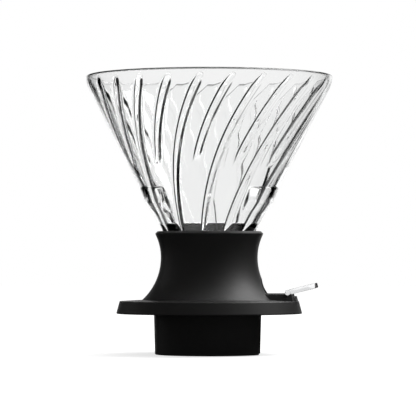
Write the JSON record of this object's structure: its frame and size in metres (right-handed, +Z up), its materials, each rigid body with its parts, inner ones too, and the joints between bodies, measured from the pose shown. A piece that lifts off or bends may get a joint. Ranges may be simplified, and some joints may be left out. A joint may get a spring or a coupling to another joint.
{
  "type": "coffee dripper",
  "caption": "Clear glass cone with curved inner ribs, seated in a waisted black silicone base whose side lever lifts a steel ball off the drain.",
  "frame": {"origin": "centre of the skirt's foot, on the surface that the base stands on", "axes": "+Z up along the cone's axis, +X towards the lever's paddle"},
  "size_m": [0.1176, 0.1176, 0.133],
  "materials": {
    "clear_glass": "clear pressed glass, polished",
    "black_silicone": "moulded silicone, matt",
    "clear_plastic": "clear moulded plastic, glossy",
    "ball_steel": "polished stainless steel"
  },
  "bodies": {
    "base": {"silicone_base": "black_silicone"},
    "glass": {"glass_cone": "clear_glass"},
    "lever": {"drain_lever": "clear_plastic"},
    "ball": {"valve_ball": "ball_steel"}
  },
  "joints": [
    {"name": "lever_hinge", "type": "hinge", "parent": "base", "child": "lever", "pos_m": [0.0376, 0, 0.0296], "axis": [0, 1, 0], "range_deg": [0, 12]},
    {"name": "ball_lift", "type": "slide", "parent": "base", "child": "ball", "axis": [0, 0, 1], "range_m": [0, 0.008]},
    {"name": "glass_lift", "type": "slide", "parent": "base", "child": "glass", "axis": [0, 0, 1], "range_m": [0, 0.03]}
  ],
  "couplings": [
    {"joint": "ball_lift", "follows": "lever_hinge", "m_per_rad": 0.0376}
  ]
}
